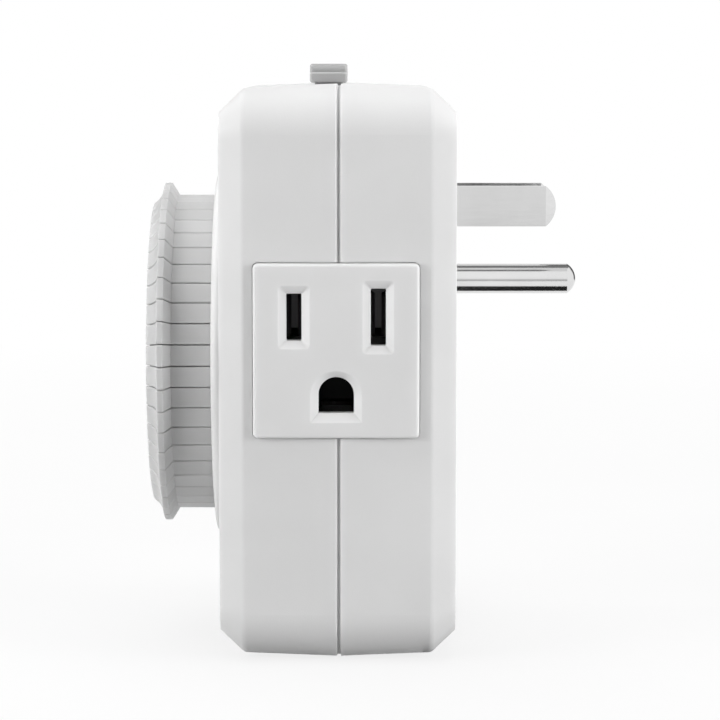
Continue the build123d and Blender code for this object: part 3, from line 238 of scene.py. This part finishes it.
def rgb(red, green, blue):
    """Linear colour of an sRGB one whose levels go from 0 to 255."""
    def linear(level):
        share = level / 255
        return share / 12.92 if share <= 0.04045 else ((share + 0.055) / 1.055) ** 2.4
    return (linear(red), linear(green), linear(blue), 1.0)


# ---- materials ----
def plastic_tree(name, dark, light, roughness, grain, depth):
    """Moulded plastic: a fine spark-eroded grain over slow changes of tone and gloss."""
    tree = Tree(name)
    tone = tree.noise(TONE_SIZE, detail=2)
    fine = tree.noise(grain, detail=4, roughness=0.6)
    colour = tree.blend(tree.spread(tone, 0, 1), dark, light)
    gloss = tree.spread(fine, roughness - 0.05, roughness + 0.07)
    tree.set(Base_Color=colour, Roughness=gloss, Normal=tree.bump(fine, depth))
    return tree, colour


def moulded_plastic(*values):
    """Moulded plastic with nothing more to it."""
    return plastic_tree(*values)[0].material


def translucent(material):
    """Lets light spread a little inside a pale plastic."""
    shader = material.node_tree.nodes["Principled BSDF"]
    shader.inputs["Subsurface Weight"].default_value = SPREAD_SHARE
    shader.inputs["Subsurface Radius"].default_value = (1.0, 1.0, 1.0)
    shader.inputs["Subsurface Scale"].default_value = SPREAD_DEPTH
    return material


def tappet_plastic(name, dark, light, roughness, grain, depth):
    """Dial plastic whose tone differs a little from one tappet to the next."""
    tree, colour = plastic_tree(name, dark, light, roughness, grain, depth)
    x, _, z = tree.axes()
    up = tree.math("SUBTRACT", z, DIAL_UP)
    turn = tree.math("ARCTAN2", x, up)
    number = tree.math("FLOOR", tree.math("MULTIPLY", turn, 2 * HOURS / (2 * pi)))
    chance = tree.nodes.new("ShaderNodeTexWhiteNoise")
    chance.noise_dimensions = "1D"
    tree.put(chance.inputs["W"], number)
    squares = tree.math("ADD", tree.math("POWER", x, 2.0), tree.math("POWER", up, 2.0))
    outside = tree.math("GREATER_THAN", squares, CAP_RADIUS ** 2)
    lean = tree.spread(chance.outputs["Value"], 0.0, TAPPET_LEAN, 0.0, 1.0)
    shade = tree.math("MULTIPLY", outside, lean)
    return tree.set(Base_Color=tree.blend(shade, colour, grey(TAPPET_SHADE)))


def outlet_plastic(name, dark, light, roughness, grain, depth):
    """Outlet plastic with painted shade inside the contact chambers, darker with depth below the
    face.
    """
    tree, colour = plastic_tree(name, dark, light, roughness, grain, depth)
    across = tree.math("ABSOLUTE", tree.axes()[0])
    face = OUTLET_HIGH.x
    # painted shade: full deep in the chambers, none near the outlet's face
    inside = tree.spread(across, 1.0, 0.0, face - CHAMBER_DEEP, face - CHAMBER_EDGE)
    return tree.set(Base_Color=tree.blend(inside, colour, grey(CHAMBER_PAINTED_SHADE)))


def plated_metal(name, dark, light, roughness, along, depth=LINE_DEPTH):
    """Plated or rolled metal with fine lines along one axis."""
    return metal_tree(name, dark, light, roughness, along, depth)[0].material


def contact_brass(name, dark, light, roughness, along):
    """Strip brass with painted shade where it reaches into the outlets, darker in the ground hole
    than in the slots.
    """
    tree, colour = metal_tree(name, dark, light, roughness, along, LINE_DEPTH)
    x, _, z = tree.axes()
    across = tree.math("ABSOLUTE", x)
    face = OUTLET_HIGH.x
    # painted shade on the contacts inside the outlets, in place of the brass colour
    inside = tree.spread(across, 0.0, 1.0, face - CONTACT_PAINTED_SHADE_EDGE, face - CONTACT_PAINTED_SHADE_FULL)
    blade = tree.spread(z, 0.0, 1.0, GROUND_TOP, GROUND_TOP + CONTACT_PAINTED_SHADE_STEP)
    painted_shade = tree.blend(blade, grey(GROUND_PAINTED_SHADE), grey(SLOT_PAINTED_SHADE))
    return tree.set(Base_Color=tree.blend(inside, colour, painted_shade))


def metal_tree(name, dark, light, roughness, along, depth):
    """Bright metal under fine lines and slow changes of tone."""
    tree = Tree(name)
    stretch = [LINE_STRETCH if axis != along else 1 for axis in "XYZ"]
    lines = tree.noise(LINE_SIZE, detail=4, roughness=0.6, place=tree.stretched(stretch))
    cloud = tree.noise(CLOUD_SIZE, detail=2)
    colour = tree.blend(tree.spread(cloud, 0, 1), dark, light)
    gloss = tree.spread(lines, roughness - 0.04, roughness + 0.05)
    tree.set(Base_Color=colour, Roughness=gloss, Metallic=1.0, Normal=tree.bump(lines, depth))
    return tree, colour


# each with its tones, roughness, and a plastic's size and depth of grain or a metal's line direction
MATERIALS = {
    "case_white": moulded_plastic("case_white", grey(225), grey(229), 0.42, 0.25 * MM, 0.012 * MM),
    "insert_white": outlet_plastic("insert_white", grey(228), grey(231), 0.36, 0.2 * MM, 0.006 * MM),
    "dial_grey": tappet_plastic("dial_grey", grey(205), grey(211), 0.4, 0.22 * MM, 0.01 * MM),
    "slider_grey": moulded_plastic("slider_grey", grey(169), grey(177), 0.4, 0.22 * MM, 0.01 * MM),
    "face_white": moulded_plastic("face_white", grey(228), grey(233), 0.5, 0.15 * MM, 0.004 * MM),
    "nickel_plate": plated_metal("nickel_plate", grey(224), grey(229), 0.13, "Y", 0.0006 * MM),
    "strip_brass": contact_brass("strip_brass", rgb(150, 126, 84), rgb(172, 146, 98), 0.4, "X"),
    "contact_silver": plated_metal("contact_silver", grey(222), grey(232), 0.3, "X"),
    "zinc_steel": plated_metal("zinc_steel", rgb(176, 180, 188), rgb(196, 199, 204), 0.34, "Z"),
    "gear_nylon": moulded_plastic(
        "gear_nylon", rgb(226, 222, 206), rgb(234, 231, 218), 0.45, 0.2 * MM, 0.006 * MM),
    "magnet_black": moulded_plastic("magnet_black", grey(38), grey(48), 0.55, 0.3 * MM, 0.01 * MM),
    "coil_copper": plated_metal("coil_copper", rgb(170, 92, 48), rgb(196, 112, 62), 0.35, "X"),
    "lead_insulation": moulded_plastic(
        "lead_insulation", grey(226), grey(234), 0.4, 0.4 * MM, 0.004 * MM),
    "insulator": moulded_plastic(
        "insulator", rgb(60, 58, 56), rgb(72, 70, 66), 0.5, 0.25 * MM, 0.01 * MM),
    "dial_print": moulded_plastic("dial_print", grey(46), grey(56), 0.5, 0.1 * MM, 0.001 * MM),
}


def finish_frame():
    """Gives each CAD node the material of its slot."""
    for part in frame["record"]["subparts"]:
        data = nodes[part["node"]].data
        data.materials.clear()
        data.materials.append(MATERIALS[part["material_slot"]])


finish_frame()
for pale in ("case_white", "insert_white", "dial_grey", "slider_grey"):
    translucent(MATERIALS[pale])


# ---- rear housing, with the foot of the motor's seat trimmed flush with the bevel below it ----
def lower_bevel(data):
    """Outward normal and distance from the origin of the flat bevel along the back's lower edge."""
    slanted = [
        face for face in data.polygons
        if face.normal.y > SLANTED and face.normal.z < -SLANTED
    ]
    widest = max(slanted, key=lambda face: face.area)
    return widest.normal.copy(), widest.normal.dot(widest.center)


def make_rear_cover():
    """A copy of the rear housing whose lower bevel is flat all along."""
    data = nodes["rear_housing"].data.copy()
    normal, distance = lower_bevel(data)
    normals = [corner.vector.copy() for corner in data.corner_normals]
    proud = set()
    for vertex in data.vertices:
        height = normal.dot(vertex.co) - distance
        if height > FLUSH:
            vertex.co -= height * normal
            proud.add(vertex.index)
    for face in data.polygons:
        if proud.intersection(face.vertices):
            for corner in face.loop_indices:
                normals[corner] = normal
    data.normals_split_custom_set(normals)
    cover = bpy.data.objects.new("rear_cover", data)
    bpy.context.scene.collection.objects.link(cover)
    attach(cover, "case")
    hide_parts("rear_housing")


make_rear_cover()


# ---- print ----
def printed(name, outlines, front, body):
    """Flat closed shapes of ink, one mesh, each a list of (x, z) corners seen from the front."""
    corners, faces = [], []
    for outline in outlines:
        start, count = len(corners), len(outline)
        for y in (front - PRINT_RAISED, front + PRINT_SUNK):
            corners += [(x, y, z) for x, z in outline]
        faces.append([start + i for i in range(count)])
        faces.append([start + count + i for i in reversed(range(count))])
        for i in range(count):
            after = (i + 1) % count
            faces.append([start + after, start + i, start + count + i, start + count + after])
    data = bpy.data.meshes.new(name)
    data.from_pydata(corners, [], faces)
    return inked(name, data, body)


def inked(name, data, body):
    """A printed mesh as a piece that rides on a body."""
    data.materials.append(MATERIALS["dial_print"])
    piece = bpy.data.objects.new(name, data)
    bpy.context.scene.collection.objects.link(piece)
    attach(piece, body)
    return piece


def spoke(turn, width, outer, length):
    """Radial tick at an angle to the left of the top, seen from the front."""
    side, inner = width / 2, outer - length
    corners = [(-side, outer), (-side, inner), (side, inner), (side, outer)]
    across, up = (cos(turn), sin(turn)), (-sin(turn), cos(turn))
    return [(x * across[0] + r * up[0], DIAL_UP + x * across[1] + r * up[1]) for x, r in corners]


def print_ticks():
    """A long tick for each hour and a short one for each half hour."""
    ticks = []
    for half in range(2 * HOURS):
        width, length = HALF_TICK if half % 2 else HOUR_TICK
        ticks.append(spoke(pi * half / HOURS, width, TICK_OUTER, length))
    printed("hour_ticks", ticks, FACE_LOW.y, "dial")


def print_numerals():
    """The hours as one mesh, each upright where it passes under the arrow."""
    data = bpy.data.meshes.new("hour_numerals")
    corners, faces = [], []
    for hour in range(1, HOURS + 1):
        curve = bpy.data.curves.new("numeral", "FONT")
        curve.body = str(hour)
        curve.size = NUMERAL_SIZE
        curve.align_x = "CENTER"
        curve.align_y = "CENTER"
        curve.extrude = (PRINT_RAISED + PRINT_SUNK) / 2
        curve.space_character = NUMERAL_SPACING
        text = bpy.data.objects.new("numeral", curve)
        bpy.context.scene.collection.objects.link(text)
        shape = bpy.data.meshes.new_from_object(text)
        turn = 2 * pi * hour / HOURS
        across = Vector((cos(turn), 0, sin(turn)))
        up = Vector((-sin(turn), 0, cos(turn)))
        middle = Vector((0, FACE_LOW.y, DIAL_UP)) + NUMERAL_RADIUS * up
        start = len(corners)
        for vertex in shape.vertices:
            x, y, z = vertex.co
            corners.append(middle + x * across + y * up - Vector((0, z, 0)))
        faces += [[start + index for index in face.vertices] for face in shape.polygons]
        bpy.data.objects.remove(text)
        bpy.data.curves.remove(curve)
        bpy.data.meshes.remove(shape)
    data.from_pydata(corners, [], faces)
    inked("hour_numerals", data, "dial")


def print_arrow():
    """The arrow on the fixed cap."""
    corners = [(x * MM, DIAL_UP + up * MM) for x, up in ARROW]
    printed("arrow_print", [corners], CAP_LOW.y, "case")


print_ticks()
print_numerals()
print_arrow()


# ---- lights, floor and backdrop ----
def seen_directly(tree_nodes, tree_links):
    """1 for the camera, mirrors and glass, and 0 for light that falls on things."""
    path = tree_nodes.new("ShaderNodeLightPath")
    value = path.outputs["Is Camera Ray"]
    for name in ("Is Glossy Ray", "Is Transmission Ray"):
        most = tree_nodes.new("ShaderNodeMath")
        most.operation = "MAXIMUM"
        tree_links.new(value, most.inputs[0])
        tree_links.new(path.outputs[name], most.inputs[1])
        value = most.outputs[0]
    return value


def make_world():
    """Plain white to look at, and a weak even light on things."""
    world = bpy.data.worlds.new("studio")
    bpy.context.scene.world = world
    world.use_nodes = True
    tree = world.node_tree
    lit = tree.nodes["Background"]
    lit.inputs["Color"].default_value = (1, 1, 1, 1)
    lit.inputs["Strength"].default_value = AMBIENT
    seen = tree.nodes.new("ShaderNodeBackground")
    seen.inputs["Color"].default_value = (1, 1, 1, 1)
    seen.inputs["Strength"].default_value = 1.0
    mix = tree.nodes.new("ShaderNodeMixShader")
    tree.links.new(seen_directly(tree.nodes, tree.links), mix.inputs["Fac"])
    tree.links.new(lit.outputs[0], mix.inputs[1])
    tree.links.new(seen.outputs[0], mix.inputs[2])
    tree.links.new(mix.outputs[0], tree.nodes["World Output"].inputs["Surface"])


def softbox(name, place, size, power):
    """Rectangular area lamp that faces the middle of the object."""
    data = bpy.data.lights.new(name, "AREA")
    data.shape = "RECTANGLE"
    data.size, data.size_y = size
    data.energy = power
    lamp = bpy.data.objects.new(name, data)
    bpy.context.scene.collection.objects.link(lamp)
    lamp.location = MIDDLE + Vector(place)
    lamp.visible_glossy = name not in OUT_OF_MIRRORS
    lamp.rotation_mode = "QUATERNION"
    lamp.rotation_quaternion = (-Vector(place)).to_track_quat("-Z", "Y")


def make_floor():
    """Pale floor that goes over to the plain white of the backdrop away from the object."""
    side = FLOOR_SIDE / 2
    data = bpy.data.meshes.new("floor")
    outline = ((-side, -side), (side, -side), (side, side), (-side, side))
    corners = [(x, y, cad_box[0].z) for x, y in outline]
    data.from_pydata(corners, [], [(0, 1, 2, 3)])
    floor = bpy.data.objects.new("floor", data)
    bpy.context.scene.collection.objects.link(floor)
    tree = Tree("floor_paper")
    tone = tree.noise(FLOOR_CLOUD, detail=3)
    dark, light = grey(FLOOR_SEEN - FLOOR_TONE), grey(FLOOR_SEEN + FLOOR_TONE)
    paper = tree.blend(tree.spread(tone, 0, 1), dark, light)
    seen = seen_directly(tree.nodes, tree.links)
    tree.set(Base_Color=tree.blend(seen, grey(FLOOR_BOUNCE), paper), Roughness=FLOOR_ROUGHNESS)
    x, y, _ = tree.axes()
    across = tree.math("POWER", x, 2.0)
    along = tree.math("POWER", y, 2.0)
    away = tree.math("SQRT", tree.math("ADD", across, along))
    share = tree.spread(away, FLOOR_GLOW, 1.0, FLOOR_NEAR, FLOOR_FAR)
    glow = tree.nodes.new("ShaderNodeEmission")
    glow.inputs["Color"].default_value = (1, 1, 1, 1)
    glow.inputs["Strength"].default_value = 1.0
    mix = tree.nodes.new("ShaderNodeMixShader")
    tree.links.new(tree.math("MULTIPLY", seen, share), mix.inputs["Fac"])
    tree.links.new(tree.shader.outputs[0], mix.inputs[1])
    tree.links.new(glow.outputs[0], mix.inputs[2])
    tree.links.new(mix.outputs[0], tree.nodes["Material Output"].inputs["Surface"])
    data.materials.append(tree.material)


def make_card(name, low, high, brightness):
    """Flat card, level or upright across x, that shows in reflections only and casts no shadow."""
    (left, front, bottom), (right, back, top) = low, high
    if bottom == top:
        corners = [(left, front, top), (right, front, top), (right, back, top), (left, back, top)]
    else:
        corners = [(left, front, bottom), (left, back, bottom), (left, back, top), (left, front, top)]
    data = bpy.data.meshes.new(name)
    data.from_pydata(corners, [], [(0, 1, 2, 3)])
    card = bpy.data.objects.new(name, data)
    bpy.context.scene.collection.objects.link(card)
    for kind in ("camera", "diffuse", "transmission", "volume_scatter", "shadow"):
        setattr(card, f"visible_{kind}", False)
    tree = Tree(name)
    glow = tree.nodes.new("ShaderNodeEmission")
    glow.inputs["Strength"].default_value = brightness
    tree.links.new(glow.outputs[0], tree.nodes["Material Output"].inputs["Surface"])
    data.materials.append(tree.material)


MIDDLE = (cad_box[0] + cad_box[1]) / 2
make_world()
make_floor()
for card_name, card in CARDS.items():
    make_card(card_name, *card)
for lamp_name, (lamp_place, lamp_size, lamp_power) in LAMPS.items():
    softbox(lamp_name, lamp_place, lamp_size, lamp_power)


def make_camera():
    """The photograph's camera."""
    data = bpy.data.cameras.new("camera")
    data.lens = CAMERA_LENS
    data.sensor_width = SENSOR
    data.clip_start = CLIP_START
    camera = bpy.data.objects.new("camera", data)
    bpy.context.scene.collection.objects.link(camera)
    ahead = Vector((-cos(CAMERA_DIP), 0, -sin(CAMERA_DIP)))
    right = Vector((0, 1, 0))
    above = right.cross(ahead)
    turn = Matrix((right, above, -ahead)).transposed().to_4x4()
    camera.matrix_world = Matrix.Translation(CAMERA_PLACE) @ turn
    bpy.context.scene.camera = camera


make_camera()
bpy.context.scene.view_settings.view_transform = "Standard"
